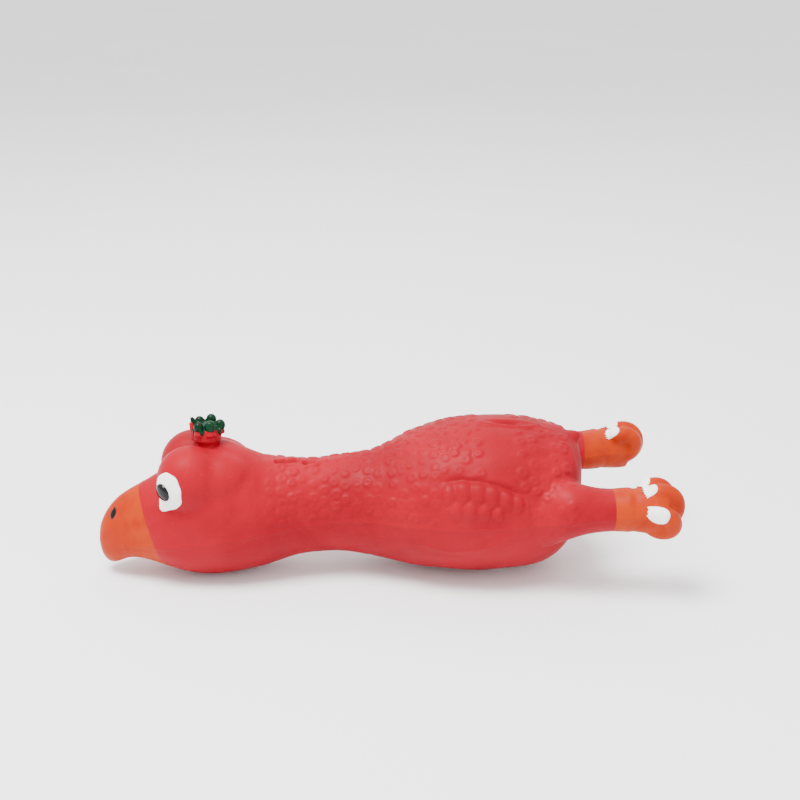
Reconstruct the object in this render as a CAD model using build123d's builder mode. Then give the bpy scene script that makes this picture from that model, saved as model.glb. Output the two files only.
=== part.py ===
from build123d import *
import os

# A squeaky latex bird lying on its belly: a hollow one-piece skin with a reed squeaker in the belly.
# Millimetres. X runs from the beak (-X) to the feet (+X), -Y is the bird's left side, +Z is up, and
# the origin is on the table under the middle of the toy. The skin is cut into the lengths that flex
# against each other (head, neck, torso, legs and feet) along spherical faces about their pivots.

# ---- driving sizes ---------------------------------------------------------------------------
LENGTH = 170.0  # beak to toe knuckles
HEAD_LENGTH = 52.0  # beak to nape
NECK_LENGTH = 30.0  # nape to shoulders
LEG_REACH = 26.0  # rump to toe knuckles
BODY_WIDTH = 50.0
BACK_TOP = 46.0  # table to the highest point of the back
HEAD_WIDTH = 33.0
HEAD_TOP = 40.8  # table to the crown, without brows and crest
NECK_WIDTH = 24.0
NECK_TOP = 34.6  # table to the top of the neck
FEET_WIDTH = 65.0  # across the outer toes
CREST_TOP = 49.0  # table to the tip of the crest
WALL = 1.4  # latex thickness
THIGH_RADIUS = 9.8
SHANK_RADIUS = 8.2
ANKLE_RADIUS = 6.4
FOOT_LENGTH = 18.5  # ankle pivot to toe knuckles
SHANK_LENGTH = 13.0  # hip pivot to ankle pivot
FOOT_PAINT = 20.4  # length of the orange paint
ANKLE_INSET = 9.4  # outer toe's side to the middle of the ankle
TOE_RADIUS = 2.7
NAIL_LENGTH = 3.4
PAINT = 0.3  # raised painted spots

# ---- clearances --------------------------------------------------------------------------------
FLEX_GAP = 0.4  # between two lengths of skin that turn against each other
SNUG = 0.02  # between pieces pressed together
BALL_SHARE = 1.18  # a flex ball's radius over the half height of the skin there

# ---- places along the toy -------------------------------------------------------------------------
HALF_BODY = BODY_WIDTH / 2
HALF_HEAD = HEAD_WIDTH / 2
BEAK_X = -LENGTH / 2
NAPE_X = BEAK_X + HEAD_LENGTH
SHOULDER_X = NAPE_X + NECK_LENGTH
RUMP_X = LENGTH / 2 - LEG_REACH
BODY_LENGTH = RUMP_X - SHOULDER_X
TOE_X = LENGTH / 2
ANKLE_X = TOE_X - FOOT_LENGTH
HIP_X = ANKLE_X - SHANK_LENGTH
PAINT_X = TOE_X - FOOT_PAINT

# The body's sections, each as (share of the stretch's length, bottom, top, widest level as shares of
# its height, width as a share of its width)
HEAD_SHARES = [
    (0.015, 0.15, 0.36, 0.24, 0.15),
    (0.05, 0.08, 0.47, 0.24, 0.26),
    (0.10, 0.08, 0.55, 0.25, 0.36),
    (0.17, 0.12, 0.62, 0.28, 0.48),
    (0.26, 0.12, 0.69, 0.31, 0.61),
    (0.37, 0.08, 0.77, 0.34, 0.80),
    (0.50, 0.02, 0.91, 0.36, 0.94),
    (0.66, 0.00, 1.00, 0.38, 1.00),
    (0.81, 0.01, 0.97, 0.40, 0.99),
    (0.96, 0.05, 0.88, 0.42, 0.91),
]
NECK_SHARES = [
    (0.20, 0.13, 1.00, 0.53, 1.09),
    (0.47, 0.16, 1.00, 0.55, 1.00),
    (0.73, 0.16, 1.02, 0.57, 1.08),
]
BODY_SHARES = [
    (0.00, 0.09, 0.79, 0.44, 0.62),
    (0.15, 0.05, 0.88, 0.45, 0.79),
    (0.31, 0.02, 0.96, 0.46, 0.93),
    (0.40, 0.01, 0.985, 0.465, 0.975),
    (0.50, 0.005, 1.00, 0.47, 1.00),
    (0.69, 0.01, 0.99, 0.49, 0.98),
    (0.85, 0.06, 0.95, 0.52, 0.86),
    (0.94, 0.16, 0.90, 0.56, 0.67),
    (0.985, 0.32, 0.84, 0.62, 0.42),
]
BEAK_POINT_Z = 0.25 * HEAD_TOP
BEAK_WALLS = 2.2  # the beak's tip is this many walls thick
RUMP_POINT_Z = 0.66 * BACK_TOP


def section_rows(start, length, height, width, shares):
    """The sections of one stretch in millimetres: (x, bottom, top, widest level, half width)."""
    return [
        (start + s * length, low * height, top * height, level * height, wide * width / 2)
        for s, low, top, level, wide in shares
    ]


HEAD_ROWS = section_rows(BEAK_X, HEAD_LENGTH, HEAD_TOP, HEAD_WIDTH, HEAD_SHARES)
NECK_ROWS = section_rows(NAPE_X, NECK_LENGTH, NECK_TOP, NECK_WIDTH, NECK_SHARES)
BODY_ROWS = section_rows(SHOULDER_X, BODY_LENGTH, BACK_TOP, BODY_WIDTH, BODY_SHARES)

# ---- flex pivots --------------------------------------------------------------------------------------
nod_x, nod_low, nod_top, _, _ = NECK_ROWS[0]
sway_x, sway_low, sway_top, _, _ = NECK_ROWS[-1]
NOD_PIVOT = (nod_x, 0, (nod_low + nod_top) / 2)
NOD_BALL = BALL_SHARE * (nod_top - nod_low) / 2
SWAY_PIVOT = (sway_x, 0, (sway_low + sway_top) / 2)
SWAY_BALL = BALL_SHARE * (sway_top - sway_low) / 2
ANKLE_Y = FEET_WIDTH / 2 - ANKLE_INSET
HIP_Z = 0.555 * BACK_TOP
ANKLE_Z = 0.575 * BACK_TOP
HIP_PIVOT = (HIP_X, 0.82 * HALF_BODY, HIP_Z)
HIP_BALL = BALL_SHARE * SHANK_RADIUS
ANKLE_PIVOT = (ANKLE_X, ANKLE_Y, ANKLE_Z)
ANKLE_BALL = BALL_SHARE * ANKLE_RADIUS

# ---- legs and feet: (x, y, z, half width, half height) along the limb ----------------------------------
LEG_LINE = [
    (HIP_X - 12.0, 0.58 * HALF_BODY, 0.50 * BACK_TOP, THIGH_RADIUS, THIGH_RADIUS),
    (HIP_X - 4.0, 0.74 * HALF_BODY, 0.53 * BACK_TOP, 0.95 * THIGH_RADIUS, 0.95 * THIGH_RADIUS),
    (*HIP_PIVOT, SHANK_RADIUS, SHANK_RADIUS),
    (ANKLE_X - 5.5, ANKLE_Y - 0.8, ANKLE_Z - 0.2, ANKLE_RADIUS, ANKLE_RADIUS),
    (*ANKLE_PIVOT, 0.98 * ANKLE_RADIUS, 0.98 * ANKLE_RADIUS),
    (ANKLE_X + 5.0, ANKLE_Y + 0.8, ANKLE_Z + 0.2, 0.96 * ANKLE_RADIUS, ANKLE_RADIUS),
]
FOOT_LINE = [
    *LEG_LINE[4:],
    (ANKLE_X + 9.0, ANKLE_Y + 1.4, ANKLE_Z + 0.2, 0.98 * ANKLE_RADIUS, 1.06 * ANKLE_RADIUS),
    (ANKLE_X + 13.0, ANKLE_Y + 2.0, ANKLE_Z - 0.4, 0.88 * ANKLE_RADIUS, 0.95 * ANKLE_RADIUS),
]
OUTER_TOE_Y = FEET_WIDTH / 2 - TOE_RADIUS
MIDDLE_TOE_Y = OUTER_TOE_Y - 1.7 * TOE_RADIUS
INNER_TOE_Y = MIDDLE_TOE_Y - 1.7 * TOE_RADIUS
KNUCKLE_X = TOE_X - TOE_RADIUS
# each toe leaves the palm, bends at the knuckle and curls back over the foot to its nail
TOES = [
    (
        (ANKLE_X + 10.0, INNER_TOE_Y + 1.0, ANKLE_Z - 1.0),
        (KNUCKLE_X - 1.6, INNER_TOE_Y, ANKLE_Z + 2.2),
        (KNUCKLE_X - 6.8, INNER_TOE_Y, ANKLE_Z + 5.4),
    ),
    (
        (ANKLE_X + 10.0, MIDDLE_TOE_Y, ANKLE_Z - 2.6),
        (KNUCKLE_X, MIDDLE_TOE_Y, ANKLE_Z + 0.6),
        (KNUCKLE_X - 6.0, MIDDLE_TOE_Y, ANKLE_Z + 5.4),
    ),
    (
        (ANKLE_X + 9.6, OUTER_TOE_Y - 3.0, ANKLE_Z - 4.0),
        (KNUCKLE_X - 2.0, OUTER_TOE_Y - 0.6, ANKLE_Z - 3.4),
        (KNUCKLE_X - 5.6, OUTER_TOE_Y, ANKLE_Z + 1.4),
    ),
]

# ---- the face --------------------------------------------------------------------------------------------
BROW_CENTRE = (BEAK_X + 0.56 * HEAD_LENGTH, 0.40 * HALF_HEAD, 0.78 * HEAD_TOP)
BROW_RADIUS = 0.60 * HALF_HEAD
EYE_YAW = 36.0  # degrees outwards from straight ahead
EYE_PITCH = -4.0  # degrees upwards
EYE_RADIUS = 0.64 * BROW_RADIUS
PUPIL_YAW = 18.0
PUPIL_PITCH = -13.0
PUPIL_RADIUS = 3.0
NOSTRIL_RADIUS = 1.2
NOSTRIL_SPOT = (BEAK_X + 0.10 * HEAD_LENGTH, 0.22 * HALF_HEAD)
# the edge of the beak's paint in side view, from above the brow to below the throat
BEAK_EDGE = [(0.23, 1.1), (0.25, 0.72), (0.285, 0.42), (0.37, 0.10), (0.42, -0.1)]

# ---- the crest --------------------------------------------------------------------------------------------
CREST_X = BEAK_X + 0.655 * HEAD_LENGTH
POST_LENGTH = 8.6
POST_WIDTH = 7.4
POST_CORNER = 2.0
POST_TAPER = 0.9
TIP_HEIGHT = 5.4
TIP_RADIUS = 1.8
TIP_COUNT = 5
POST_TOP = CREST_TOP - TIP_HEIGHT

# ---- the squeaker, upright in the belly --------------------------------------------------------------------
SQUEAKER_X = SHOULDER_X + 0.6 * BODY_LENGTH
LIP_BOTTOM = 0.8  # the lip stays off the table
LIP = 1.1
LIP_RADIUS = 7.4
STEM_RADIUS = 5.8
FLANGE_RADIUS = 7.6
FLANGE = 1.3
BARREL_RADIUS = 5.2
BARREL_WALL = 1.3
BARREL_HEIGHT = 9.4
SOUND_HOLE_RADIUS = 1.6
SEAT_Z = LIP_BOTTOM + LIP  # underside of the latex that the groove holds
FLANGE_Z = SEAT_Z + WALL
CHAMBER_Z = FLANGE_Z + FLANGE
CHAMBER_RADIUS = BARREL_RADIUS - BARREL_WALL
BARREL_TOP = CHAMBER_Z + BARREL_HEIGHT
PAD_RADIUS = FLANGE_RADIUS + 2.0
REED = 0.3
REED_WIDTH = 3.4
CLAMP = 3.0  # the reed's clamped length
REED_END_GAP = 0.8  # free end to the chamber's floor
AIR_SLOT = 1.6  # the channel in the table under the reed
REED_LIFT = 1.4  # the table falls away from the reed's free end
REED_GAP = 0.1  # between the reed's clamped length and the length that beats
CLAMP_Z = BARREL_TOP - CLAMP
REED_PIVOT = (SQUEAKER_X + (REED + SNUG) / 2, 0, CLAMP_Z - REED_GAP)


def taken_in(row, inset):
    """A section of the hollow: inset from the skin all round, and drawn in from beak and rump."""
    x, low, top, level, half_width = row
    middle_x = (BEAK_X + RUMP_X) / 2
    drawn_in = inset * (x - middle_x) / (RUMP_X - middle_x)
    return x - drawn_in, low + inset, top - inset, level, half_width - inset


def body_section(row):
    """An egg-shaped section across X, one half ellipse above the widest level and one below it."""
    x, low, top, level, half_width = row
    with BuildSketch(Plane.YZ.offset(x)) as section:
        with BuildLine():
            EllipticalCenterArc((0, level), half_width, top - level, 0, arc_size=180)
            EllipticalCenterArc((0, level), half_width, level - low, 180, arc_size=180)
        make_face()
    return section.sketch.face()


def body_form(inset=0.0):
    """The whole body from beak to rump, taken in by inset on every side."""
    rows = [taken_in(row, inset) for row in HEAD_ROWS + NECK_ROWS + BODY_ROWS]
    sections = [body_section(row) for row in rows if row[4] > inset]
    with BuildPart() as form:
        beak_point = Vertex(BEAK_X + BEAK_WALLS * inset, 0, BEAK_POINT_Z)
        rump_point = Vertex(RUMP_X - inset, 0, RUMP_POINT_Z)
        loft(sections=[beak_point, *sections, rump_point])
    return form.part


def limb_form(line, inset=0.0):
    """A loft through ellipses across X."""
    with BuildPart() as form:
        for x, y, z, half_width, half_height in line:
            with BuildSketch(Plane.YZ.offset(x)):
                with Locations((y, z)):
                    Ellipse(half_width - inset, half_height - inset)
        loft()
    return form.part


def ball(centre, radius):
    with BuildPart() as form:
        with Locations(centre):
            Sphere(radius, rotation=(0, 90, 0))
    return form.part


def slab(x_from, x_to):
    """Everything between two planes across X."""
    with BuildPart() as form:
        with BuildSketch(Plane.YZ.offset(x_from)):
            Rectangle(2 * FEET_WIDTH, 4 * CREST_TOP)
        extrude(amount=x_to - x_from)
    return form.part


def other_side(shape):
    return mirror(shape, about=Plane.XZ)


def save(part, name):
    part.label = name
    export_step(part, f"parts/{name}.step")


os.makedirs("parts", exist_ok=True)
outer = body_form()
inner = body_form(WALL)
leg_outer = limb_form(LEG_LINE)
leg_inner = limb_form(LEG_LINE, WALL)
hip_ball = ball(HIP_PIVOT, HIP_BALL)

# ---- torso: the barrel of the skin, open at the neck, the hips and the belly -------------------------------
with BuildPart() as squeaker_pad:
    with BuildSketch(Plane.XY.offset(SEAT_Z)):
        with Locations((SQUEAKER_X, 0)):
            Circle(PAD_RADIUS)
    extrude(amount=WALL)
    add(outer, mode=Mode.INTERSECT)

with BuildPart() as thigh:
    add(leg_outer)
    add(slab(0, HIP_X), mode=Mode.INTERSECT)

with BuildPart() as torso_skin:
    add(outer)
    add(slab(sway_x, LENGTH), mode=Mode.INTERSECT)
    add(thigh.part)
    add(other_side(thigh.part))
    add(inner, mode=Mode.SUBTRACT)
    add(leg_inner, mode=Mode.SUBTRACT)
    add(other_side(leg_inner), mode=Mode.SUBTRACT)
    add(squeaker_pad.part)
    with BuildSketch(Plane.XY.offset(-LIP)):
        with Locations((SQUEAKER_X, 0)):
            Circle(LIP_RADIUS + FLEX_GAP)
    extrude(amount=LIP + SEAT_Z, mode=Mode.SUBTRACT)
    with BuildSketch(Plane.XY):
        with Locations((SQUEAKER_X, 0)):
            Circle(STEM_RADIUS + SNUG)
    extrude(amount=CHAMBER_Z, mode=Mode.SUBTRACT)
    add(ball(SWAY_PIVOT, SWAY_BALL), mode=Mode.SUBTRACT)
    add(hip_ball, mode=Mode.SUBTRACT)
    add(other_side(hip_ball), mode=Mode.SUBTRACT)
save(torso_skin.part, "torso_skin")

# ---- neck: its round ends turn inside the rims of the torso and the head -------------------------------------
with BuildPart() as neck_skin:
    add(ball(SWAY_PIVOT, SWAY_BALL - FLEX_GAP))
    add(ball(NOD_PIVOT, NOD_BALL - FLEX_GAP))
    add(slab(nod_x, sway_x))
    add(outer, mode=Mode.INTERSECT)
    add(inner, mode=Mode.SUBTRACT)
save(neck_skin.part, "neck_skin")

# ---- head: two brow domes on the front of the body form, in pink latex behind the beak's paint ------------------
with BuildPart() as head_form:
    add(outer)
    add(slab(-LENGTH, nod_x), mode=Mode.INTERSECT)
    with Locations(BROW_CENTRE):
        Sphere(BROW_RADIUS)
    with Locations((BROW_CENTRE[0], -BROW_CENTRE[1], BROW_CENTRE[2])):
        Sphere(BROW_RADIUS)

with BuildPart() as beak_side:
    edge = [(BEAK_X + s * HEAD_LENGTH, h * HEAD_TOP) for s, h in BEAK_EDGE]
    with BuildSketch(Plane.XZ.offset(-HEAD_WIDTH)):
        with BuildLine():
            border = Spline(*edge)
            Polyline(border @ 1, (-LENGTH, edge[-1][1]), (-LENGTH, edge[0][1]), border @ 0)
        make_face()
    extrude(amount=2 * HEAD_WIDTH)

for name, side in (("head_skin", Mode.SUBTRACT), ("beak", Mode.INTERSECT)):
    with BuildPart() as front_skin:
        add(head_form.part)
        add(inner, mode=Mode.SUBTRACT)
        with Locations(BROW_CENTRE):
            Sphere(BROW_RADIUS - WALL, mode=Mode.SUBTRACT)
        with Locations((BROW_CENTRE[0], -BROW_CENTRE[1], BROW_CENTRE[2])):
            Sphere(BROW_RADIUS - WALL, mode=Mode.SUBTRACT)
        add(ball(NOD_PIVOT, NOD_BALL), mode=Mode.SUBTRACT)
        add(beak_side.part, mode=side)
    save(front_skin.part, name)


def brow_spot(yaw, pitch, radius, height):
    """A round painted spot on the right brow, from height - PAINT to height above the dome."""
    ahead = Vector(-1, 0, 0).rotate(Axis.Y, pitch).rotate(Axis.Z, -yaw)
    with BuildPart() as spot:
        with BuildSketch(Plane(origin=BROW_CENTRE, z_dir=ahead)):
            Circle(radius)
        extrude(amount=2 * BROW_RADIUS)
        add(ball(BROW_CENTRE, BROW_RADIUS + height), mode=Mode.INTERSECT)
        add(ball(BROW_CENTRE, BROW_RADIUS + height - PAINT), mode=Mode.SUBTRACT)
        add(outer, mode=Mode.SUBTRACT)
    return spot.part


with BuildPart() as nostril:
    with BuildSketch(Plane.XY.offset(BEAK_POINT_Z)):
        with Locations(NOSTRIL_SPOT):
            Circle(NOSTRIL_RADIUS)
    extrude(amount=HEAD_TOP)
    add(outer.moved(Location((0, 0, PAINT))), mode=Mode.INTERSECT)
    add(outer, mode=Mode.SUBTRACT)

eye_white = brow_spot(EYE_YAW, EYE_PITCH, EYE_RADIUS, PAINT)
pupil = brow_spot(PUPIL_YAW, PUPIL_PITCH, PUPIL_RADIUS, 2 * PAINT)
for name, spot in (("eye_white", eye_white), ("pupil", pupil), ("nostril", nostril.part)):
    save(spot, f"{name}_right")
    save(other_side(spot), f"{name}_left")

# ---- crest: a short post with a ring of tips -------------------------------------------------------------------
with BuildPart() as crest_post:
    with BuildSketch(Plane.XY.offset(BROW_CENTRE[2])):
        with Locations((CREST_X, 0)):
            RectangleRounded(POST_LENGTH + POST_TAPER, POST_WIDTH + POST_TAPER, POST_CORNER)
    with BuildSketch(Plane.XY.offset(POST_TOP)):
        with Locations((CREST_X, 0)):
            RectangleRounded(POST_LENGTH - POST_TAPER, POST_WIDTH - POST_TAPER, POST_CORNER)
    loft()
    add(head_form.part, mode=Mode.SUBTRACT)
save(crest_post.part, "crest_post")

with BuildPart() as crest_tips:
    tip_ring = (POST_LENGTH + POST_WIDTH) / 4 - 0.75 * TIP_RADIUS
    with Locations((CREST_X, 0, POST_TOP + TIP_HEIGHT / 2)):
        with PolarLocations(tip_ring, TIP_COUNT, start_angle=180):
            Cone(1.1 * TIP_RADIUS, 0.5 * TIP_RADIUS, TIP_HEIGHT)
        Cylinder(tip_ring, 0.8 * TIP_HEIGHT)
save(crest_tips.part, "crest_tips")

# ---- legs and feet ------------------------------------------------------------------------------------------------
with BuildPart() as behind_hip:
    add(slab(0, HIP_X - FLEX_GAP))
    add(ball(HIP_PIVOT, HIP_BALL - FLEX_GAP), mode=Mode.SUBTRACT)
with BuildPart() as beyond_ankle:
    add(slab(ANKLE_X + FLEX_GAP, LENGTH))
    add(ball(ANKLE_PIVOT, ANKLE_BALL - FLEX_GAP), mode=Mode.SUBTRACT)
with BuildPart() as leg_root:
    add(outer)
    add(ball(HIP_PIVOT, HIP_BALL - FLEX_GAP), mode=Mode.INTERSECT)
with BuildPart() as leg_form:
    add(leg_outer)
    add(behind_hip.part, mode=Mode.SUBTRACT)
    add(beyond_ankle.part, mode=Mode.SUBTRACT)
    add(leg_root.part)
    add(inner, mode=Mode.SUBTRACT)
    add(leg_inner, mode=Mode.SUBTRACT)
with BuildPart() as leg_skin:
    add(leg_form.part)
    add(slab(0, PAINT_X), mode=Mode.INTERSECT)
with BuildPart() as ankle:
    add(leg_form.part)
    add(slab(PAINT_X, LENGTH), mode=Mode.INTERSECT)
save(leg_skin.part, "leg_skin_right")
save(other_side(leg_skin.part), "leg_skin_left")
save(ankle.part, "ankle_right")
save(other_side(ankle.part), "ankle_left")


def toe_form(start, knuckle, tip):
    """A toe curled through three points, with a round end, cut where its nail starts: toe, nail."""
    with BuildPart() as toe:
        with BuildLine() as curl:
            ThreePointArc(start, knuckle, tip)
        with BuildSketch(Plane(origin=start, z_dir=curl.line % 0)):
            Circle(TOE_RADIUS)
        sweep(path=curl.line)
        with Locations(tip):
            Sphere(TOE_RADIUS)
    with BuildPart() as nail_end:
        with BuildSketch(Plane(origin=tip, z_dir=curl.line % 1).offset(TOE_RADIUS - NAIL_LENGTH)):
            Circle(1.1 * TOE_RADIUS)
        extrude(amount=2 * NAIL_LENGTH)
    with BuildPart() as bare_toe:
        add(toe.part)
        add(nail_end.part, mode=Mode.SUBTRACT)
    with BuildPart() as nail:
        add(toe.part)
        add(nail_end.part, mode=Mode.INTERSECT)
    return bare_toe.part, nail.part


toes = [toe_form(*points) for points in TOES]
with BuildPart() as foot:
    add(limb_form(FOOT_LINE))
    for toe, _ in toes:
        add(toe)
    add(slab(-LENGTH, ANKLE_X), mode=Mode.SUBTRACT)
    add(ball(ANKLE_PIVOT, ANKLE_BALL), mode=Mode.SUBTRACT)
with BuildPart() as nails:
    for _, nail in toes:
        add(nail)
    add(foot.part, mode=Mode.SUBTRACT)
save(foot.part, "foot_right")
save(other_side(foot.part), "foot_left")
save(nails.part, "nails_right")
save(other_side(nails.part), "nails_left")

# ---- squeaker housing: a grooved plug with a barrel standing in the belly ------------------------------------------
with BuildPart() as squeaker_housing:
    with BuildSketch(Plane.XZ):
        with Locations((SQUEAKER_X, 0)):
            with Locations((0, LIP_BOTTOM)):
                Rectangle(LIP_RADIUS, LIP - SNUG, align=Align.MIN)
                Rectangle(STEM_RADIUS, CHAMBER_Z - LIP_BOTTOM, align=Align.MIN)
            with Locations((0, FLANGE_Z + SNUG)):
                Rectangle(FLANGE_RADIUS, FLANGE - SNUG, align=Align.MIN)
                Rectangle(BARREL_RADIUS, BARREL_TOP - FLANGE_Z, align=Align.MIN)
            with Locations((0, CHAMBER_Z)):
                Rectangle(CHAMBER_RADIUS, 2 * BARREL_HEIGHT, align=Align.MIN, mode=Mode.SUBTRACT)
            Rectangle(SOUND_HOLE_RADIUS, BARREL_TOP, align=Align.MIN, mode=Mode.SUBTRACT)
    revolve(axis=Axis((SQUEAKER_X, 0, 0), (0, 0, 1)))
save(squeaker_housing.part, "squeaker_housing")

# ---- reed table: fills the -X half of the chamber and falls away below the clamp -------------------------------------
with BuildPart() as chamber:
    with Locations((SQUEAKER_X, 0, CHAMBER_Z + BARREL_HEIGHT / 2)):
        Cylinder(CHAMBER_RADIUS - SNUG, BARREL_HEIGHT)

with BuildPart() as reed_table:
    with BuildSketch(Plane.XZ.offset(-BARREL_RADIUS)):
        with BuildLine():
            Polyline(
                (SQUEAKER_X - BARREL_RADIUS, CHAMBER_Z),
                (SQUEAKER_X - REED_LIFT, CHAMBER_Z),
                (SQUEAKER_X, CLAMP_Z),
                (SQUEAKER_X, BARREL_TOP),
                (SQUEAKER_X - BARREL_RADIUS, BARREL_TOP),
                close=True,
            )
        make_face()
    extrude(amount=2 * BARREL_RADIUS)
    add(chamber.part, mode=Mode.INTERSECT)
    with Locations((SQUEAKER_X, 0, (CHAMBER_Z + CLAMP_Z) / 2)):
        Box(2 * REED_LIFT, AIR_SLOT, CLAMP_Z - CHAMBER_Z, mode=Mode.SUBTRACT)
save(reed_table.part, "reed_table")

# ---- clamp: wedges the reed's top end against the table ------------------------------------------------------------------
with BuildPart() as reed_clamp:
    with BuildSketch(Plane.XY.offset(CLAMP_Z)):
        with Locations((SQUEAKER_X + REED + SNUG, 0)):
            Rectangle(BARREL_RADIUS, 2 * BARREL_RADIUS, align=(Align.MIN, Align.CENTER))
    extrude(amount=CLAMP)
    add(chamber.part, mode=Mode.INTERSECT)
save(reed_clamp.part, "reed_clamp")

# ---- reed: a thin strip, held by its clamped length, with its free length hanging down beside the table ----------------
for name, low, high in (
    ("reed_root", CLAMP_Z, BARREL_TOP),
    ("reed", CHAMBER_Z + REED_END_GAP, REED_PIVOT[2]),
):
    with BuildPart() as reed:
        with BuildSketch(Plane.XY.offset(low)):
            with Locations((REED_PIVOT[0], 0)):
                Rectangle(REED, REED_WIDTH)
        extrude(amount=high - low)
    save(reed.part, name)
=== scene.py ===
import math

import bmesh
import bpy
import numpy as np
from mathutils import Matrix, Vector
from mathutils.bvhtree import BVHTree
from mathutils.kdtree import KDTree


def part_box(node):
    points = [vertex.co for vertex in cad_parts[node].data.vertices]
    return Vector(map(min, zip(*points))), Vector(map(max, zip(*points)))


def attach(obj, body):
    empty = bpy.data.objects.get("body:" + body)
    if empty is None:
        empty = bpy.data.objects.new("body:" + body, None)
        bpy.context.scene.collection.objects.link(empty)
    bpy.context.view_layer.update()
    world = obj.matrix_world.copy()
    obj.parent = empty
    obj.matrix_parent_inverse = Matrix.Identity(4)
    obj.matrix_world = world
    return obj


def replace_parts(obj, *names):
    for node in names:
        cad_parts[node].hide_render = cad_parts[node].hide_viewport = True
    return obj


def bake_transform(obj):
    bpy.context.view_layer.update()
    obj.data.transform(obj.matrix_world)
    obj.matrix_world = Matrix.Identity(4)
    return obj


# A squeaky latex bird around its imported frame. The skin is sculpted in millimetres in the part's frame
# (beak to -X, the bird's left side to -Y, +Z up) and written in metres.

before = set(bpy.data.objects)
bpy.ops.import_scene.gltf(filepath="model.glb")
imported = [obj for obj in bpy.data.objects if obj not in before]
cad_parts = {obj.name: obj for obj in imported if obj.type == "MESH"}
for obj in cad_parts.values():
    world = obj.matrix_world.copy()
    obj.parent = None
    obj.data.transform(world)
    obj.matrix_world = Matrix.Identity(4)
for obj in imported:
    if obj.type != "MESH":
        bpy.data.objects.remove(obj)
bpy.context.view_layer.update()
MM = 0.001
SEED = 7

VOXEL = 0.5  # mesh size of the skin
SWELL = 0.5  # closes the 0.4 mm gaps between the lengths of skin before they are joined


def cad_low(node):
    return np.array(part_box(node)[0]) / MM


def cad_high(node):
    return np.array(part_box(node)[1]) / MM


def cad_middle(node):
    return (cad_low(node) + cad_high(node)) / 2


# ---- mesh helpers --------------------------------------------------------------------------------


def node_arrays(name):
    """A CAD node's vertices in mm, welded, with its faces."""
    bm = bmesh.new()
    bm.from_mesh(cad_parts[name].data)
    bmesh.ops.remove_doubles(bm, verts=bm.verts, dist=1e-6)
    bmesh.ops.recalc_face_normals(bm, faces=bm.faces)
    bm.normal_update()
    verts = np.array([v.co + v.normal * SWELL * MM for v in bm.verts]) / MM
    faces = [[v.index for v in f.verts] for f in bm.faces]
    bm.free()
    return verts, faces


def ball_arrays(centre, radii, rings=16, spokes=24):
    """A closed ellipsoid."""
    bm = bmesh.new()
    bmesh.ops.create_uvsphere(bm, u_segments=spokes, v_segments=rings, radius=1.0)
    verts = np.array([v.co for v in bm.verts]) * np.array(radii) + np.array(centre)
    faces = [[v.index for v in f.verts] for f in bm.faces]
    bm.free()
    return verts, faces


def tube_arrays(points, radii, spokes=20):
    """A closed tube through points with a radius at each."""
    points = np.array(points, float)
    verts = []
    faces = []
    count = len(points)
    for i, (p, r) in enumerate(zip(points, radii)):
        ahead = Vector(points[min(i + 1, count - 1)] - points[max(i - 1, 0)]).normalized()
        turn = ahead.to_track_quat("Z", "Y")
        for j in range(spokes):
            a = 2 * math.pi * j / spokes
            verts.append(p + np.array(turn @ Vector((r * math.cos(a), r * math.sin(a), 0))))
    for i in range(count - 1):
        for j in range(spokes):
            k = (j + 1) % spokes
            faces.append([i * spokes + j, i * spokes + k, (i + 1) * spokes + k, (i + 1) * spokes + j])
    faces.append(list(range(spokes))[::-1])
    faces.append([(count - 1) * spokes + j for j in range(spokes)])
    return np.array(verts), faces


def union(parts, voxel):
    """One closed surface around the parts: the outer one, with no hollow inside."""
    verts = []
    faces = []
    start = 0
    for v, f in parts:
        verts.append(v)
        faces += [[i + start for i in face] for face in f]
        start += len(v)
    mesh = bpy.data.meshes.new("union")
    mesh.from_pydata(np.concatenate(verts).tolist(), [], faces)
    obj = bpy.data.objects.new("union", mesh)
    bpy.context.scene.collection.objects.link(obj)
    remesh = obj.modifiers.new("remesh", "REMESH")
    remesh.mode = "VOXEL"
    remesh.voxel_size = voxel
    bpy.context.view_layer.update()
    done = bpy.data.meshes.new_from_object(obj.evaluated_get(bpy.context.evaluated_depsgraph_get()))
    bpy.data.objects.remove(obj)
    bm = bmesh.new()
    bm.from_mesh(done)
    bm.verts.ensure_lookup_table()
    best = []
    seen = np.zeros(len(bm.verts), bool)
    for v in bm.verts:
        if seen[v.index]:
            continue
        seen[v.index] = True
        island = [v]
        for w in island:
            for e in w.link_edges:
                o = e.other_vert(w)
                if not seen[o.index]:
                    seen[o.index] = True
                    island.append(o)
        if len(island) > len(best):
            best = island
    keep = {v.index for v in best}
    bmesh.ops.delete(bm, geom=[v for v in bm.verts if v.index not in keep], context="VERTS")
    bmesh.ops.triangulate(bm, faces=[f for f in bm.faces if len(f.verts) > 4])
    bm.verts.index_update()
    out = np.array([v.co for v in bm.verts])
    quads = np.array([([v.index for v in f.verts] * 2)[:4] if len(f.verts) == 4
                      else [v.index for v in f.verts] + [f.verts[2].index] for f in bm.faces])
    edges = np.array([[v.index for v in e.verts] for e in bm.edges])
    bm.free()
    return out, quads, edges


def spread(index, values, count):
    return np.stack([np.bincount(index, values[:, k], count) for k in range(3)], axis=1)


def normals_of(verts, quads):
    n = np.cross(verts[quads[:, 2]] - verts[quads[:, 0]], verts[quads[:, 3]] - verts[quads[:, 1]])
    tri = quads[:, 2] == quads[:, 3]
    corner = verts[quads[tri, 0]]
    n[tri] = np.cross(verts[quads[tri, 1]] - corner, verts[quads[tri, 2]] - corner)
    total = sum(spread(quads[:, k], n, len(verts)) for k in range(4))
    return total / np.maximum(np.linalg.norm(total, axis=1), 1e-12)[:, None]


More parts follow.
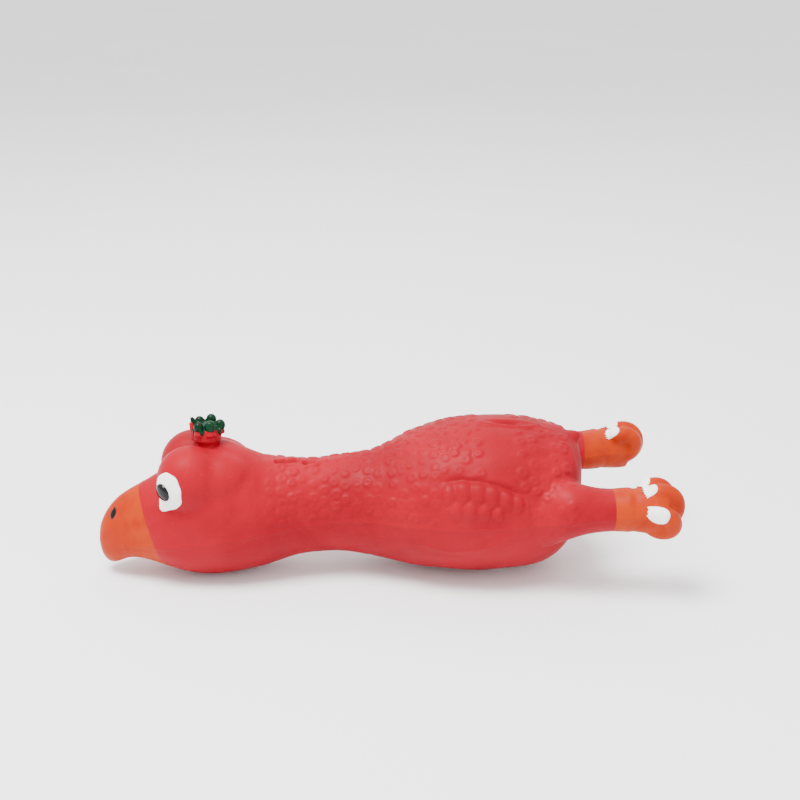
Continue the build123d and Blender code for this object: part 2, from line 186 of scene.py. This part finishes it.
def relax(verts, edges, rounds, share=1.0):
    """Smooths without shrinking; share is each vertex's own amount."""
    a = np.concatenate([edges[:, 0], edges[:, 1]])
    b = np.concatenate([edges[:, 1], edges[:, 0]])
    degree = np.maximum(np.bincount(a, minlength=len(verts)), 1)[:, None]
    weight = np.broadcast_to(np.asarray(share, float), (len(verts),))[:, None]
    for _ in range(rounds):
        for step in (0.5, -0.51):
            mean = spread(a, verts[b], len(verts)) / degree
            verts = verts + step * weight * (mean - verts)
    return verts


def fade(value, low, high):
    """0 below low, 1 above high, smooth between; low may be the larger."""
    t = np.clip((value - low) / (high - low), 0, 1)
    return t * t * (3 - 2 * t)


def dome(distance, radius):
    return np.clip(1 - (distance / radius) ** 2, 0, 1) ** 1.5


def ridge(distance, width):
    return np.exp(-((distance / width) ** 2))


# ---- the skin: the CAD lengths joined, sculpted --------------------------------------------------

SIDES = {"left": -1, "right": 1}
squeaker = cad_middle("squeaker_housing")
POCKET_RADIUS = 9.0
POCKET_TOP = 16.0
CORE_DEPTH = 0.75  # the core ends inside the latex wall
CORE_STEP = 0.9
CORE_AXIS_X = (-82, -70, -50, -20, 30, 57)
CORE_AXIS_Z = (10, 13, 16, 19, 22, 29)
RAY_START = 60.0  # further out than the skin
BROW_BACK = (-49.0, 5.4, 30.9)
BROW_BACK_RADII = (12.0, 9.6, 9.4)
LEG_LINE = [  # x, y, z and radius
    (41.5, 14.5, 23.0, 9.0), (49.5, 18.5, 24.4, 8.6), (53.5, 20.5, 25.5, 7.5),
    (61.0, 22.3, 26.25, 5.7), (66.5, 23.1, 26.45, 5.5), (71.5, 23.9, 26.65, 5.4),
]


def core_arrays(parts, x_from, x_to, spokes=72):
    """Fills the hollow body, up to the middle of its wall, but for a pocket round the squeaker."""
    verts = np.concatenate([v for v, _ in parts])
    starts = np.cumsum([0] + [len(v) for v, _ in parts])
    faces = [[i + start for i in f] for (_, fs), start in zip(parts, starts) for f in fs]
    shell = BVHTree.FromPolygons(verts.tolist(), faces)
    rows = []
    for x in np.arange(x_from, x_to, CORE_STEP):
        z = float(np.interp(x, CORE_AXIS_X, CORE_AXIS_Z))
        row = []
        for j in range(spokes):
            a = 2 * math.pi * (j + 0.5) / spokes
            way = Vector((0, math.cos(a), math.sin(a)))
            hit, _, _, far = shell.ray_cast(Vector((x, 0, z)) + way * RAY_START, -way)
            row.append(max(RAY_START - far - CORE_DEPTH, 0.1) if hit else None)
        known = [r for r in row if r is not None]
        if len(known) < spokes // 2:
            continue
        for j, r in enumerate(row):
            a = 2 * math.pi * (j + 0.5) / spokes
            r = min(known) if r is None else r
            p = [x, r * math.cos(a), z + r * math.sin(a)]
            if math.hypot(p[0] - squeaker[0], p[1]) < POCKET_RADIUS and p[2] < POCKET_TOP:
                p[2] = POCKET_TOP
            rows.append(p)
    count = len(rows) // spokes
    quads = [[i * spokes + j, i * spokes + (j + 1) % spokes, (i + 1) * spokes + (j + 1) % spokes,
              (i + 1) * spokes + j] for i in range(count - 1) for j in range(spokes)]
    ends = [list(range(spokes))[::-1], [(count - 1) * spokes + j for j in range(spokes)]]
    return np.array(rows), quads + ends


body_parts = [node_arrays(n) for n in ("torso_skin", "neck_skin", "head_skin", "beak")]
limb_parts = [node_arrays(f"{n}_{side}") for side in SIDES for n in ("leg_skin", "ankle", "foot", "nails")]
fillers = [core_arrays(body_parts, -80.0, 55.0)]
for sign in SIDES.values():
    fillers.append(ball_arrays((BROW_BACK[0], sign * BROW_BACK[1], BROW_BACK[2]), BROW_BACK_RADII))
    line = [(x, sign * y, z) for x, y, z, _ in LEG_LINE]
    fillers.append(tube_arrays(line, [r for _, _, _, r in LEG_LINE], 32))
V, QUADS, EDGES = union(body_parts + limb_parts + fillers, VOXEL)

near_squeaker = fade(np.hypot(V[:, 0] - squeaker[0], V[:, 1] - squeaker[1]), 12, 8) * (V[:, 2] < 8)
on_foot = fade(V[:, 0], 66, 70)
V = relax(V, EDGES, 5, 1 - near_squeaker)
N = normals_of(V, QUADS)
V = V - SWELL * N
V = relax(V, EDGES, 30, (1 - near_squeaker) * (1 - on_foot))
V = relax(V, EDGES, 4, 1 - near_squeaker)
behind_brow = fade(V[:, 0], -62, -56) * fade(V[:, 0], -30, -40) * fade(V[:, 2], 18, 24)
V = relax(V, EDGES, 120, behind_brow)
N = normals_of(V, QUADS)

SEAM_X = (-80, -66, -51, -35, -19, -3, 12, 28, 44, 56, 70, 86)
SEAM_Z = (11.0, 13.0, 15.5, 17.5, 19.0, 20.5, 21.4, 21.6, 22.8, 25.6, 26.6, 26.6)
seam_z = np.interp(V[:, 0], SEAM_X, SEAM_Z)
lift = np.zeros(len(V))
x, y, z = V.T
side_y = np.abs(y)

# the mould's parting line
lift += 0.26 * ridge(z - seam_z, 0.55) * (side_y > 3) * fade(x, -78, -70) * fade(x, 84, 76)

# wings: two rows of lobes under a curved shoulder with a crease above it
WING_LOBES = [
    (18.0, 31.2, 2.3), (21.9, 32.2, 2.5), (26.1, 31.8, 2.4),
    (30.1, 31.0, 2.3), (34.0, 30.2, 2.1), (37.4, 29.3, 1.8),
    (19.8, 27.6, 2.2), (23.8, 27.6, 2.2), (27.8, 27.2, 2.1), (31.6, 26.6, 1.8),
]
on_side = fade(side_y, 12, 15)
wing = np.zeros(len(V))
for lobe_x, lobe_z, radius in WING_LOBES:
    wing = np.maximum(wing, dome(np.hypot(x - lobe_x, (z - lobe_z) * 0.75), radius) ** 0.6)
shoulder_z = 34.6 - 0.016 * (x - 23) ** 2
wing_span = fade(x, 14.5, 18.5) * fade(x, 40, 35)
under_shoulder = fade(z, shoulder_z + 0.5, shoulder_z - 1.0) * fade(z, 23.5, 27.0) * wing_span
lift += on_side * (1.05 * wing + 0.35 * under_shoulder)
lift -= 0.55 * on_side * wing_span * ridge(z - shoulder_z - 0.7, 0.7)

# a shallow fold under each wing
FOLD_X = (10.0, 14.0, 19.0, 24.0, 29.0, 33.5, 36.5)
FOLD_Z = (16.4, 14.6, 13.9, 14.3, 15.8, 18.6, 21.0)
fold_z = np.interp(x, FOLD_X, FOLD_Z)
lift += 0.22 * ridge(z - fold_z, 0.8) * fade(x, 9, 13) * fade(x, 38, 34) * on_side

# the pricked dents at the nape and the pinch on the rump
for dent_x, dent_y, length in ((-28.0, -1.5, 2.8), (-21.5, -2.2, 1.2)):
    along = np.clip(x - dent_x, -length, length)
    d = np.hypot(x - dent_x - along, y - dent_y - 0.15 * along)
    lift -= 1.1 * ridge(d, 0.6) * (z > 25)
    lift += 0.35 * ridge(d - 1.3, 0.5) * (z > 25)
pinch = np.hypot((x - 37.0) / 5.2, (y + 2.4) / 1.3)
lift -= 1.3 * dome(pinch, 1.0) * (z > 30)
lift += 0.6 * ridge(pinch - 1.5, 0.42) * (z > 30)

# a small pointed tail and the rim round the rump
tail = np.array((57.2, 0.0, 40.6))
tail_d = np.linalg.norm((V - tail) / np.array((3.5, 3.5, 2.8)), axis=1)
V[:, 0] += 2.0 * dome(tail_d, 1.0)
V[:, 2] += 1.2 * dome(tail_d, 1.0)
lift += 0.35 * ridge(x - 55.4 + 0.01 * (z - 30) ** 2, 0.8) * fade(side_y, 16, 11) * (z > 12)

# feather scales: staggered little rings on the back and the upper sides
tree = BVHTree.FromPolygons(V.tolist(), QUADS.tolist())
kd = KDTree(len(V))
for i, p in enumerate(V):
    kd.insert(p, i)
kd.balance()
rng = np.random.default_rng(SEED)
SCALE_ROW = 3.15
SCALE_PITCH = 4.1
SCALE_FROM, SCALE_TO = -36.0, 56.5
SCALE_REACH = 2.1
SCALE_HEIGHT = 0.50
scales = np.zeros(len(V))
row_count = int((SCALE_TO - SCALE_FROM) / SCALE_ROW)
for row in range(row_count):
    row_x = SCALE_FROM + row * SCALE_ROW
    axis_z = float(np.interp(row_x, SEAM_X, SEAM_Z))
    top = tree.ray_cast(Vector((row_x, 0, axis_z)), Vector((0, 0, 1)))[0]
    radius = (top.z - axis_z) if top else 15.0
    step = SCALE_PITCH / max(radius, 10.0)
    count = int(1.75 / step)
    for k in range(-count, count + 1):
        angle = (k + 0.5 * (row % 2)) * step + rng.normal(0, 0.04)
        shift = rng.normal(0, 0.35)
        strength = rng.uniform(0.35, 1.0) * float(fade(abs(angle), 1.8, 1.4))
        strength *= float(fade(row_x, -37, -30)) * float(fade(row_x, 58, 54))
        size = rng.uniform(0.85, 1.2)
        aim = Vector((0, math.sin(angle), math.cos(angle)))
        place = tree.ray_cast(Vector((row_x + shift, 0, axis_z)), aim)[0]
        if place is None:
            continue
        for p, i, d in kd.find_range(place, SCALE_REACH):
            u = d / size
            disc = 1 / (1 + math.exp((u - 1.3) / 0.12))
            scales[i] = max(scales[i], strength * (disc - 0.6 * math.exp(-((u / 0.6) ** 2))))
over_wing = on_side * wing_span * fade(z, shoulder_z + 2.0, shoulder_z + 0.5)
near_pinch = fade(pinch, 2.2, 1.4) * (z > 30)
lift += SCALE_HEIGHT * scales * (1 - 0.85 * over_wing) * (1 - near_pinch) * fade(z - seam_z, 0.3, 2.5)

# an unevenness, so that highlights wander over the latex as they do on the real skin
lift += 0.16 * np.sin(x * 0.31 + 1.7 * np.sin(y * 0.21)) * np.sin(z * 0.27 + 1.3) * (1 - on_foot)
lift *= 1 - near_squeaker
V = V + lift[:, None] * N
V = relax(V, EDGES, 1)

V[:, 2] = np.maximum(V[:, 2], 0.02)
N = normals_of(V, QUADS)
tree = BVHTree.FromPolygons(V.tolist(), QUADS.tolist())


# ---- materials -----------------------------------------------------------------------------------


class Nodes:
    """A node tree written from the shader backwards."""

    def __init__(self, name):
        self.material = bpy.data.materials.new(name)
        self.material.use_nodes = True
        self.tree = self.material.node_tree
        self.shader = self.tree.nodes["Principled BSDF"]
        self.place = self.tree.nodes.new("ShaderNodeTexCoord").outputs["Object"]

    def add(self, kind, **inputs):
        node = self.tree.nodes.new(kind)
        for key, value in inputs.items():
            self.put(node, key, value)
        return node

    def put(self, node, key, value):
        socket = node.inputs[int(key[1:])] if key[0] == "i" and key[1:].isdigit() else node.inputs[key]
        if isinstance(value, bpy.types.NodeSocket):
            self.tree.links.new(value, socket)
        else:
            socket.default_value = value

    def noise(self, scale, detail=3.0, roughness=0.5, distortion=0.0):
        node = self.add("ShaderNodeTexNoise", Vector=self.place, Scale=scale, Detail=detail)
        node.inputs["Roughness"].default_value = roughness
        node.inputs["Distortion"].default_value = distortion
        return node.outputs["Fac"]

    def ramp(self, value, low, high, out_low=0.0, out_high=1.0):
        node = self.add("ShaderNodeMapRange", Value=value)
        node.interpolation_type = "SMOOTHSTEP"
        node.inputs["From Min"].default_value = low
        node.inputs["From Max"].default_value = high
        node.inputs["To Min"].default_value = out_low
        node.inputs["To Max"].default_value = out_high
        return node.outputs["Result"]

    def mix(self, share, a, b):
        node = self.tree.nodes.new("ShaderNodeMix")
        node.data_type = "RGBA"
        self.put(node, "i0", share)
        self.put(node, "i6", a if isinstance(a, bpy.types.NodeSocket) else (*a, 1.0))
        self.put(node, "i7", b if isinstance(b, bpy.types.NodeSocket) else (*b, 1.0))
        return node.outputs[2]

    def bump(self, height, strength, distance, normal=None):
        node = self.add("ShaderNodeBump", Height=height, Strength=strength, Distance=distance)
        if normal is not None:
            self.put(node, "Normal", normal)
        return node.outputs["Normal"]

    def pores(self):
        cells = self.add("ShaderNodeTexVoronoi", Vector=self.place, Scale=900.0)
        return cells.outputs["Distance"]


def latex(name, deep, main, pale, roughness, subsurface, powder):
    """Moulded latex: cloudy colour, a dry bloom on it, tiny specks and pores."""
    n = Nodes(name)
    clouds = n.noise(38.0, 4.0, 0.55, 0.6)
    colour = n.mix(n.ramp(clouds, 0.30, 0.62), deep, main)
    streaks = n.noise(150.0, 3.0, 0.6, 1.4)
    colour = n.mix(n.ramp(streaks, 0.55, 0.80, 0.0, powder), colour, pale)
    specks = n.noise(1400.0, 1.0)
    colour = n.mix(n.ramp(specks, 0.70, 0.78, 0.0, 0.30), colour, pale)
    n.put(n.shader, "Base Color", colour)
    n.put(n.shader, "Roughness", n.ramp(n.noise(90.0, 3.0), 0.3, 0.7, roughness - 0.06, roughness + 0.08))
    n.shader.inputs["Subsurface Weight"].default_value = subsurface
    n.shader.inputs["Subsurface Radius"].default_value = (1.0, 0.25, 0.2)
    n.shader.inputs["Subsurface Scale"].default_value = 0.0016
    n.shader.inputs["Specular IOR Level"].default_value = 0.08
    soft = n.bump(n.noise(420.0, 4.0, 0.6), 0.25, 0.00025)
    n.put(n.shader, "Normal", n.bump(n.pores(), 0.12, 0.00006, soft))
    return n.material


def paint(name, deep, main, roughness, coat, wear=0.0, under=(0.8, 0.05, 0.08)):
    """Brushed-on paint: slightly uneven, with brush marks and thin spots that let the latex through."""
    n = Nodes(name)
    colour = n.mix(n.ramp(n.noise(120.0, 3.0, 0.5, 0.8), 0.35, 0.65), deep, main)
    thin = n.ramp(n.noise(700.0, 2.0, 0.6), 0.66, 0.74, 0.0, wear)
    colour = n.mix(thin, colour, under)
    n.put(n.shader, "Base Color", colour)
    n.put(n.shader, "Roughness", n.ramp(n.noise(260.0, 3.0), 0.3, 0.7, roughness - 0.05, roughness + 0.08))
    n.shader.inputs["Subsurface Weight"].default_value = 0.05
    n.shader.inputs["Subsurface Scale"].default_value = 0.001
    n.shader.inputs["Specular IOR Level"].default_value = 0.09
    n.shader.inputs["Coat Weight"].default_value = coat
    n.shader.inputs["Coat Roughness"].default_value = 0.12
    marks = n.noise(330.0, 3.0, 0.6, 0.4)
    n.put(n.shader, "Normal", n.bump(marks, 0.22, 0.0002))
    return n.material


# These colours are tuned to this scene's light and view transform; they aren't measured ones.
PINK = latex(
    "latex_pink", (0.22, 0.0003, 0.0070), (0.29, 0.0004, 0.0100), (0.42, 0.010, 0.024), 0.46, 0.03, 0.12,
)
ORANGE = paint(
    "paint_orange", (0.31, 0.0150, 0.0001), (0.36, 0.0260, 0.0001), 0.45, 0.0, 0.05, (0.34, 0.004, 0.004),
)
GREEN = paint(
    "paint_green", (0.0005, 0.010, 0.003), (0.0010, 0.026, 0.009), 0.24, 0.02, 0.06, (0.22, 0.002, 0.008),
)
WHITE = paint("paint_white", (0.88, 0.86, 0.83), (0.96, 0.95, 0.93), 0.36, 0.05, 0.0)
BLACK = paint("paint_black", (0.002, 0.002, 0.0025), (0.005, 0.005, 0.006), 0.16, 0.25, 0.0)


def squeaker_plastic(name, deep, main, roughness):
    n = Nodes(name)
    n.put(n.shader, "Base Color", n.mix(n.ramp(n.noise(200.0), 0.3, 0.7), deep, main))
    n.put(n.shader, "Roughness", n.ramp(n.noise(500.0), 0.3, 0.7, roughness - 0.05, roughness + 0.05))
    n.put(n.shader, "Normal", n.bump(n.noise(900.0), 0.15, 0.00008))
    return n.material


HOUSING = squeaker_plastic("squeaker_plastic", (0.66, 0.63, 0.55), (0.80, 0.78, 0.71), 0.33)
REED = squeaker_plastic("reed_film", (0.62, 0.47, 0.18), (0.78, 0.64, 0.32), 0.25)
for node, material in (
    ("squeaker_housing", HOUSING), ("reed_table", HOUSING), ("reed_clamp", HOUSING),
    ("reed_root", REED), ("reed", REED),
):
    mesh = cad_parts[node].data
    mesh.materials.clear()
    mesh.materials.append(material)


# ---- cutting the skin into pieces ----------------------------------------------------------------


def whole_skin():
    bm = bmesh.new()
    layer = bm.verts.layers.float_vector.new("rest_normal")
    for p, n in zip(V * MM, N):
        bm.verts.new(p)[layer] = Vector(n)
    bm.verts.ensure_lookup_table()
    for q in QUADS:
        bm.faces.new([bm.verts[i] for i in (q if q[2] != q[3] else q[:3])])
    bm.faces.index_update()
    return bm


def piece(source, name, cuts, material):
    """The part of the skin on the inner side of every cut, closed, and smooth across the cuts."""
    bm = source.copy()
    caps = bm.faces.layers.int.new("cap")
    for point, outward in cuts:
        geom = bm.verts[:] + bm.edges[:] + bm.faces[:]
        place = Vector(point) * MM
        bmesh.ops.bisect_plane(bm, geom=geom, plane_co=place, plane_no=Vector(outward), clear_outer=True)
        rim = [e for e in bm.edges if len(e.link_faces) == 1]
        for f in bmesh.ops.holes_fill(bm, edges=rim, sides=0)["faces"]:
            f[caps] = 1
    bmesh.ops.triangulate(bm, faces=[f for f in bm.faces if len(f.verts) > 4])
    layer = bm.verts.layers.float_vector["rest_normal"]
    bm.normal_update()
    shade = []
    for f in bm.faces:
        f.smooth = True
        for v in f.verts:
            shade.append(tuple(f.normal) if f[caps] else tuple(v[layer].normalized()))
    mesh = bpy.data.meshes.new(name)
    bm.to_mesh(mesh)
    bm.free()
    mesh.normals_split_custom_set(shade)
    mesh.materials.append(material)
    obj = bpy.data.objects.new(name, mesh)
    bpy.context.scene.collection.objects.link(obj)
    return obj


NECK_X = -19.0  # between the two neck pivots, where the skin follows the neck alone
BEAK_TOP, BEAK_THROAT = (-72.3, 0, 29.0), (-63.6, 0, 2.0)
border = Vector(BEAK_TOP) - Vector(BEAK_THROAT)
beakward = Vector((-border.z, 0, border.x)).normalized()
PAINT_X = float(cad_low("ankle_left")[0])
HIP_POINT = (58.6, 9.0, 26.0)
HIP_SLOPE = Vector((10, 11, 0)).normalized()

skin = whole_skin()
hips = {}
for side, sign in SIDES.items():
    hips[side] = (
        (HIP_POINT[0], sign * HIP_POINT[1], HIP_POINT[2]),
        Vector((HIP_SLOPE.x, sign * HIP_SLOPE.y, 0)),
    )

trunk_cuts = [hips["left"], hips["right"]]
torso = piece(skin, "skin_torso", trunk_cuts + [((NECK_X, 0, 0), (-1, 0, 0))], PINK)
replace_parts(torso, "torso_skin", "neck_skin")
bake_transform(torso)

head = piece(skin, "skin_head", [((NECK_X, 0, 0), (1, 0, 0)), (BEAK_THROAT, beakward)], PINK)
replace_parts(head, "head_skin")
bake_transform(head)

beak = piece(skin, "skin_beak", [(BEAK_THROAT, -beakward)], ORANGE)
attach(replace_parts(beak, "beak"), "head")

for side, (hip, outward) in hips.items():
    leg = piece(skin, f"skin_leg_{side}", [(hip, -outward), ((PAINT_X, 0, 0), (1, 0, 0))], PINK)
    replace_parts(leg, f"leg_skin_{side}")
    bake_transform(leg)
    foot = piece(skin, f"skin_foot_{side}", [((PAINT_X, 0, 0), (-1, 0, 0)), (hip, -outward)], ORANGE)
    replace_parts(foot, f"ankle_{side}", f"foot_{side}")
    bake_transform(foot)
skin.free()


# ---- painted spots that lie on the skin ----------------------------------------------------------


def spot(name, centre, aim, outline, height, crown, material, reach, rings=14, spokes=56):
    """A closed patch of paint: rays from centre around aim find the skin within reach; outline(angle) is
    the patch's half angle there, height its thickness and crown how far it domes in the middle."""
    aim = Vector(aim).normalized()
    up = (Vector((0, 0, 1)) - aim * aim.z).normalized() if abs(aim.z) < 0.9 else Vector((1, 0, 0))
    across = up.cross(aim)
    tops = []
    bases = []
    for i in range(rings + 1):
        share = i / rings
        for j in range(spokes):
            a = 2 * math.pi * j / spokes
            tilt = outline(a) * share
            way = aim * math.cos(tilt) + (across * math.cos(a) + up * math.sin(a)) * math.sin(tilt)
            hit, normal, _, _ = tree.ray_cast(Vector(centre), way, 1.6 * reach)
            if hit is None:
                hit, normal, _, _ = tree.find_nearest(Vector(centre) + way * reach)
            thick = height * math.sqrt(max(0.0, 1 - share**8)) + crown * (1 - share * share)
            tops.append(hit + normal * thick)
            bases.append(hit - normal * 0.25)
    bm = bmesh.new()
    top = [bm.verts.new(p * MM) for p in tops[spokes - 1:]]
    low = [bm.verts.new(p * MM) for p in bases[spokes - 1:]]
    for side, flip in ((top, False), (low, True)):
        for i in range(rings):
            for j in range(spokes):
                k = (j + 1) % spokes
                if i == 0:
                    f = [side[0], side[1 + j], side[1 + k]]
                else:
                    inner = 1 + (i - 1) * spokes
                    outer = 1 + i * spokes
                    f = [side[inner + j], side[outer + j], side[outer + k], side[inner + k]]
                bm.faces.new(f[::-1] if flip else f)
    last = 1 + (rings - 1) * spokes
    for j in range(spokes):
        k = (j + 1) % spokes
        bm.faces.new([top[last + j], low[last + j], low[last + k], top[last + k]])
    bmesh.ops.recalc_face_normals(bm, faces=bm.faces)
    mesh = bpy.data.meshes.new(name)
    bm.to_mesh(mesh)
    bm.free()
    mesh.shade_smooth()
    mesh.materials.append(material)
    obj = bpy.data.objects.new(name, mesh)
    bpy.context.scene.collection.objects.link(obj)
    return obj


def toward(yaw, pitch, sign):
    """A direction yaw degrees outwards from straight ahead (-X) and pitch degrees upwards."""
    a, e = math.radians(yaw), math.radians(pitch)
    return Vector((-math.cos(a) * math.cos(e), sign * math.sin(a) * math.cos(e), math.sin(e)))


BROW = (-55.9, 6.6, 31.8)
BROW_RADIUS = 9.9
WHITE_HALF_ANGLE = 33
PUPIL_HALF_ANGLE = 16
NOSTRIL = (-78.6, 3.5, 12.0)

for side, sign in SIDES.items():
    centre = (BROW[0], sign * BROW[1], BROW[2])

    def eye_outline(a, sign=sign):
        """Taller than wide, with the upper inner edge cut off by the brow."""
        inner_top = math.atan2(1.0, sign)
        off = math.cos(a - inner_top)
        brushed = 1 + 0.10 * abs(math.sin(a)) + 0.015 * math.sin(9 * a)
        return math.radians(WHITE_HALF_ANGLE) * brushed * (1 - 0.20 * max(0.0, off) ** 2)

    white = spot(
        f"eye_white_{side}", centre, toward(44, -4, sign), eye_outline, 0.22, 0.25, WHITE, BROW_RADIUS,
    )
    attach(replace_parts(white, f"eye_white_{side}"), "head")
    pupil = spot(
        f"pupil_{side}", centre, toward(41, -6, sign), lambda a: math.radians(PUPIL_HALF_ANGLE),
        1.00, 0.50, BLACK, BROW_RADIUS, 10, 40,
    )
    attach(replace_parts(pupil, f"pupil_{side}"), "head")
    nostril = spot(
        f"nostril_{side}", (NOSTRIL[0], sign * NOSTRIL[1], NOSTRIL[2]), (-0.15, 0, 1),
        lambda a: math.radians(6 + 2 * abs(math.sin(a))), 0.12, 0.10, BLACK, 10.0, 6, 24,
    )
    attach(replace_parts(nostril, f"nostril_{side}"), "head")


def join(objects, name):
    """Several closed patches as one object."""
    bm = bmesh.new()
    for o in objects:
        bm.from_mesh(o.data)
    mesh = bpy.data.meshes.new(name)
    bm.to_mesh(mesh)
    bm.free()
    mesh.materials.append(objects[0].data.materials[0])
    for o in objects:
        bpy.data.objects.remove(o)
    obj = bpy.data.objects.new(name, mesh)
    bpy.context.scene.collection.objects.link(obj)
    return obj


# ---- crest: a pink post with a crown of green-dipped tips ----------------------------------------

post_low = cad_low("crest_post")
post_high = cad_high("crest_post")
crest_x = float((post_low[0] + post_high[0]) / 2)
post_z = float(post_high[2])
crest_top = float(cad_high("crest_tips")[2])


def finish_piece(arrays, name, material, rounds):
    verts, quads, edges = arrays
    verts = relax(verts, edges, rounds)
    mesh = bpy.data.meshes.new(name)
    faces = [q if q[2] != q[3] else q[:3] for q in quads.tolist()]
    mesh.from_pydata((verts * MM).tolist(), [], faces)
    mesh.shade_smooth()
    mesh.materials.append(material)
    obj = bpy.data.objects.new(name, mesh)
    bpy.context.scene.collection.objects.link(obj)
    return obj


KNOBS = [  # angle round the post from the front, reach from its axis, height below the top, radius
    (52, 3.3, 2.6, 1.45), (110, 3.1, 2.2, 1.55), (180, 3.5, 2.9, 1.55), (250, 3.1, 2.2, 1.55),
    (308, 3.3, 2.6, 1.45),
]
DRIPS = 8
post = [tube_arrays(
    [(crest_x - 0.2, 0, post_low[2] - 4.0), (crest_x, 0, post_low[2] - 0.5), (crest_x, 0, post_z - 1.5),
     (crest_x, 0, post_z + 1.8)],
    (6.4, 4.9, 4.2, 3.7), 28,
)]
leaf = np.array((crest_x - 4.4, 0, crest_top - 0.4))
leaf_root = np.array((crest_x - 3.0, 0, post_z - 1.5))
post.append(tube_arrays([leaf_root, leaf_root + (-0.5, 0, 3.0), leaf - (0, 0, 1.4)], (1.9, 1.6, 0.8)))
tips = [
    ball_arrays((crest_x, 0, post_z + 2.0), (3.7, 3.3, 1.2)),
    tube_arrays([leaf_root + (0.6, 0, 1.6), leaf_root + (0.1, 0, 3.4), leaf], (1.7, 1.5, 0.45)),
]
for angle, reach, below, radius in KNOBS:
    a = math.radians(angle)
    knob = np.array((crest_x - reach * 1.1 * math.cos(a), reach * math.sin(a), crest_top - below))
    rim = np.array((crest_x - 3.7 * math.cos(a), 3.5 * math.sin(a), post_z + 1.7))
    post.append(tube_arrays([rim - (0, 0, 1.6), knob - (0, 0, 1.0)], (1.5, 1.2)))
    tips.append(ball_arrays(knob, (radius, radius, 1.1 * radius)))
    tips.append(tube_arrays([knob, rim], (0.9 * radius, 1.2)))
for k in range(DRIPS):
    a = math.radians(22 + 45 * k)
    rim = np.array((crest_x - 3.5 * math.cos(a), 3.3 * math.sin(a), post_z + 1.7))
    drop = np.array((-0.5 * math.cos(a), 0.5 * math.sin(a), -1.8 - 0.6 * math.sin(3.1 * k)))
    tips.append(tube_arrays([rim, rim + 0.6 * drop, rim + drop], (1.1, 0.7, 0.3)))
crest_post = finish_piece(union(post, 0.3), "crest_post", PINK, 6)
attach(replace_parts(crest_post, "crest_post"), "head")
crest_paint = finish_piece(union(tips, 0.26), "crest_tips", GREEN, 3)
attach(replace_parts(crest_paint, "crest_tips"), "head")

# ---- nails: a white cap of paint on the end of each curled toe -----------------------------------

TOE_RADIUS = 2.7
TOE_ENDS = [  # middle of the toe's end, the way the nail looks, half its angle there
    ((75.5, 20.6, 31.9), (-0.75, -0.1, 0.65), 52),
    ((76.3, 25.2, 31.9), (-0.75, 0.1, 0.65), 52),
    ((76.7, 29.8, 27.9), (-0.45, 0.85, 0.25), 60),
]
for side, sign in SIDES.items():
    caps = []
    for i, ((tx, ty, tz), (ax, ay, az), half) in enumerate(TOE_ENDS):
        caps.append(spot(
            f"nail_{side}_{i}", (tx, sign * ty, tz), (ax, sign * ay, az),
            lambda a, half=half: math.radians(half) * (1 + 0.05 * math.sin(3 * a)),
            0.25, 0.15, WHITE, TOE_RADIUS,
        ))
    nails = join(caps, f"nails_{side}_paint")
    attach(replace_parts(nails, f"nails_{side}"), f"foot_{side}")

# ---- floor, light, camera ------------------------------------------------------------------------

floor_mesh = bpy.data.meshes.new("floor")
HALF_FLOOR = 8.0
floor_mesh.from_pydata(
    [(-HALF_FLOOR, -HALF_FLOOR, 0), (HALF_FLOOR, -HALF_FLOOR, 0), (HALF_FLOOR, HALF_FLOOR, 0),
     (-HALF_FLOOR, HALF_FLOOR, 0)], [], [(0, 1, 2, 3)],
)
floor = bpy.data.objects.new("floor", floor_mesh)
bpy.context.scene.collection.objects.link(floor)
floor_nodes = Nodes("floor_white")
floor_nodes.put(
    floor_nodes.shader, "Base Color",
    floor_nodes.mix(
        floor_nodes.ramp(floor_nodes.noise(3.0), 0.3, 0.7), (0.90, 0.90, 0.90), (0.93, 0.93, 0.93),
    ),
)
floor_nodes.shader.inputs["Roughness"].default_value = 0.6
floor_mesh.materials.append(floor_nodes.material)

WORLD_STRENGTH = 1.7
world = bpy.data.worlds.new("studio")
bpy.context.scene.world = world
world.use_nodes = True
world.node_tree.nodes["Background"].inputs["Color"].default_value = (1.0, 1.0, 1.0, 1.0)
world.node_tree.nodes["Background"].inputs["Strength"].default_value = WORLD_STRENGTH


def softbox(name, place, size, power):
    light = bpy.data.lights.new(name, "AREA")
    light.shape = "RECTANGLE"
    light.size, light.size_y = size
    light.energy = power
    obj = bpy.data.objects.new(name, light)
    obj.location = place
    obj.rotation_euler = (Vector((0, 0, 0.02)) - Vector(place)).to_track_quat("-Z", "Y").to_euler()
    bpy.context.scene.collection.objects.link(obj)


softbox("key", (-0.22, -0.12, 0.70), (0.35, 0.35), 13.0)
softbox("fill", (0.6, -0.5, 0.45), (0.5, 0.5), 1.5)
softbox("back", (0.0, 0.6, 0.6), (0.8, 0.4), 2.0)

VIEW_AZIMUTH = math.radians(-3.29)
VIEW_ELEVATION = math.radians(24.0)
VIEW_DISTANCE = 0.399
VIEW_TARGET = Vector((0, 0, 0.0213))
camera_data = bpy.data.cameras.new("camera")
camera_data.lens = 59.7
camera_data.sensor_width = 36.0
camera_data.shift_x = 0.0229
camera_data.shift_y = 0.1235
camera_data.clip_start = 0.01
camera = bpy.data.objects.new("camera", camera_data)
out = Vector((
    math.sin(VIEW_AZIMUTH) * math.cos(VIEW_ELEVATION),
    -math.cos(VIEW_AZIMUTH) * math.cos(VIEW_ELEVATION),
    math.sin(VIEW_ELEVATION),
))
camera.location = VIEW_TARGET + out * VIEW_DISTANCE
camera.rotation_euler = (-out).to_track_quat("-Z", "Y").to_euler()
bpy.context.scene.collection.objects.link(camera)
bpy.context.scene.camera = camera
